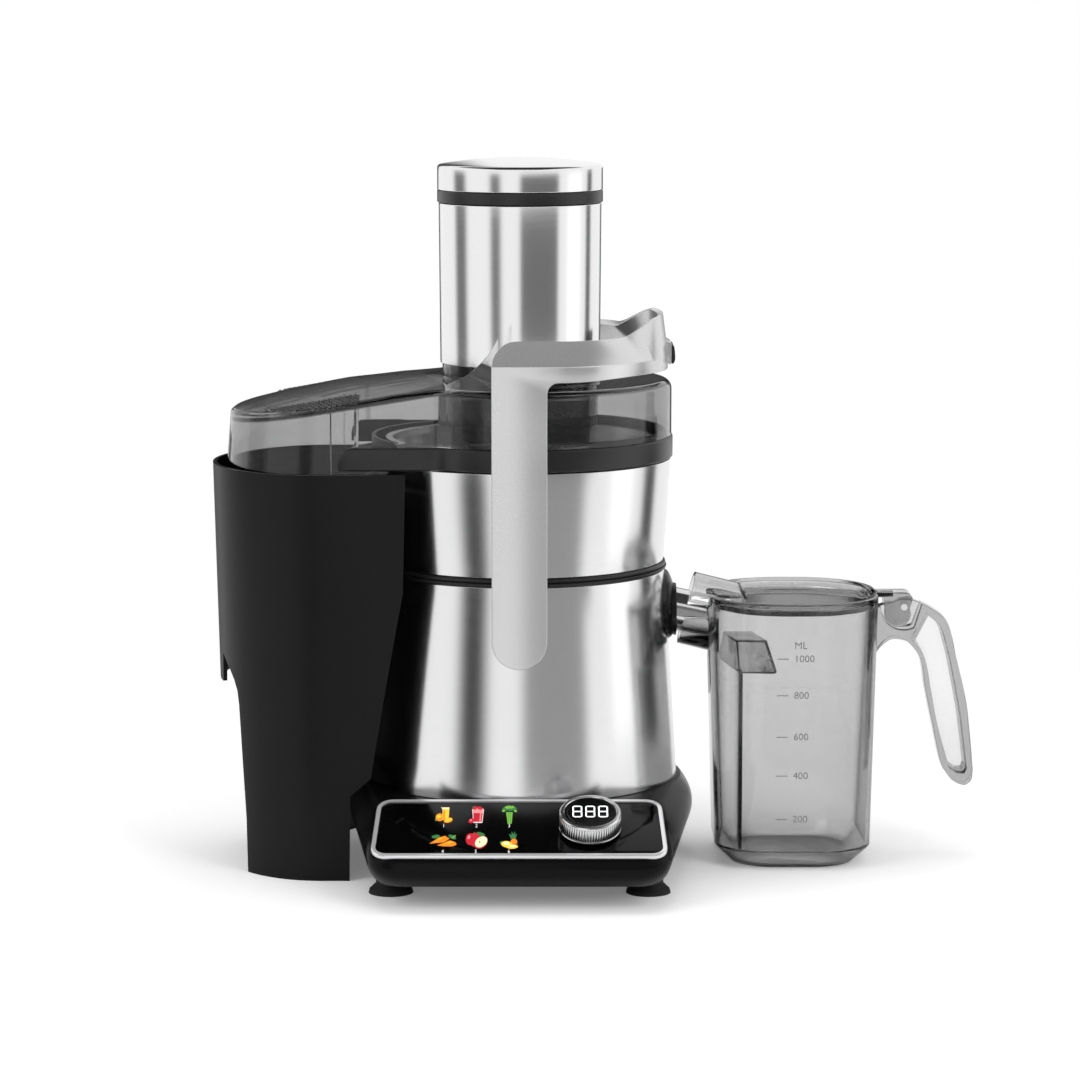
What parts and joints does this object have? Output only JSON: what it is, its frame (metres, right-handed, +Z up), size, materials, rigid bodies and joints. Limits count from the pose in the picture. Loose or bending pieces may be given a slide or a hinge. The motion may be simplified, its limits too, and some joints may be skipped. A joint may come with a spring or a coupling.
{
  "type": "centrifugal juicer",
  "caption": "Countertop centrifugal juicer: conical steel motor body, smoked lid with wide feed tube and pusher, swing-over locking arm, slide-out pulp bin and hinged-lid juice jug.",
  "frame": {"origin": "on the counter, at the middle of the footprint's box", "axes": "+Z up, the control panel faces -Y, the juice jug stands towards +X"},
  "size_m": [0.4482, 0.257, 0.4126],
  "materials": {
    "base_black": "satin black moulding",
    "black_plastic": "moulded black",
    "black_rubber": "soft matt",
    "zinc_screw": "zinc plated",
    "chrome_trim": "bright trim",
    "black_glass": "gloss black panel",
    "board_green": "circuit board",
    "display_black": "dark display window",
    "knob_chrome": "knurled bright metal",
    "brushed_steel": "brushed",
    "seal_black": "soft seal",
    "bracket_steel": "plain sheet",
    "lamination_steel": "stacked sheet",
    "copper_wire": "enamelled copper",
    "bearing_steel": "ground steel",
    "brass_holder": "plain",
    "copper_bar": "bare copper",
    "fan_plastic": "moulded",
    "bowl_black": "moulded black",
    "band_black": "satin black",
    "escutcheon_black": "satin black",
    "polished_steel": "polished",
    "basket_steel": "perforated sheet",
    "smoke_lid": "smoked clear",
    "chute_dark": "dark smoked",
    "tube_steel": "polished brushed",
    "pusher_black": "moulded black",
    "satin_arm": "satin silver",
    "grip_black": "soft touch",
    "bin_black": "matt black",
    "smoke_jug": "smoked clear",
    "smoke_baffle": "smoked clear",
    "smoke_handle": "smoked clear",
    "smoke_jug_lid": "smoked clear"
  },
  "bodies": {
    "juicer_base": {"base_housing": "base_black", "base_plate": "black_plastic", "suction_feet": "black_rubber", "base_screws": "zinc_screw", "cord_gland": "black_rubber", "panel_bezel": "chrome_trim", "panel_glass": "black_glass", "control_board": "board_green", "knob_encoder": "black_plastic", "lower_steel_shell": "brushed_steel", "motor_frame": "black_plastic", "seam_ring": "seal_black", "motor_top_bracket": "bracket_steel", "motor_bushes": "black_rubber", "motor_screws": "zinc_screw", "motor_stator": "lamination_steel", "field_coils": "copper_wire", "motor_bottom_bracket": "bracket_steel", "motor_bearings": "bearing_steel", "brush_holders": "brass_holder", "shaft_seal": "black_rubber", "interlock_switch": "black_plastic", "arm_pivot_pins": "bearing_steel", "arm_pivot_bushes": "black_plastic", "juice_bowl": "bowl_black", "bowl_steel_jacket": "brushed_steel", "bowl_rim_band": "band_black", "spout_escutcheon": "escutcheon_black", "juice_spout": "polished_steel", "lid": "smoke_lid", "lid_seal": "seal_black", "feed_chute": "chute_dark", "feed_tube_sleeve": "tube_steel"},
    "rotor": {"motor_shaft": "bearing_steel", "motor_armature": "lamination_steel", "commutator": "copper_bar", "cooling_fan": "fan_plastic", "drive_coupling": "black_plastic", "filter_basket": "basket_steel", "grater_disc": "basket_steel", "basket_nut": "polished_steel"},
    "pusher": {"pusher_body": "pusher_black", "pusher_band": "band_black", "pusher_cap": "tube_steel"},
    "arm": {"locking_arm": "satin_arm", "arm_grip": "grip_black"},
    "bin": {"pulp_bin": "bin_black"},
    "jug": {"jug_body": "smoke_jug", "jug_baffle": "smoke_baffle", "jug_handle": "smoke_handle", "jug_hinge_pin": "polished_steel"},
    "jug_cover": {"jug_lid": "smoke_jug_lid"},
    "knob_core": {"knob_display": "display_black"},
    "knob_dial": {"knob_ring": "knob_chrome"}
  },
  "joints": [
    {"name": "arm_swing", "type": "hinge", "parent": "juicer_base", "child": "arm", "pos_m": [-0.044, 0.0215, 0.1433], "axis": [0, 1, 0], "range_deg": [0, 45]},
    {"name": "pusher_lift", "type": "slide", "parent": "juicer_base", "child": "pusher", "axis": [0, 0, 1], "range_m": [0, 0.24]},
    {"name": "bin_slide", "type": "slide", "parent": "juicer_base", "child": "bin", "axis": [-1, 0, 0], "range_m": [0, 0.15]},
    {"name": "jug_slide", "type": "slide", "parent": "juicer_base", "child": "jug", "axis": [1, 0, 0], "range_m": [0, 0.12]},
    {"name": "jug_lid_hinge", "type": "hinge", "parent": "jug", "child": "jug_cover", "pos_m": [0.1817, 0.0215, 0.1495], "axis": [0, 1, 0], "range_deg": [0, 95]},
    {"name": "knob_press", "type": "slide", "parent": "juicer_base", "child": "knob_core", "axis": [0, 0.3665, -0.9304], "range_m": [0, 0.0012], "stiffness_N_per_m": 1500, "springref_m": -0.0006},
    {"name": "knob_turn", "type": "hinge", "parent": "knob_core", "child": "knob_dial", "pos_m": [-0.0043, -0.10271, 0.04097], "axis": [0, -0.3665, 0.9304], "continuous": true},
    {"name": "basket_spin", "type": "hinge", "parent": "juicer_base", "child": "rotor", "pos_m": [-0.044, 0.0215, 0.2], "axis": [0, 0, 1], "continuous": true}
  ]
}
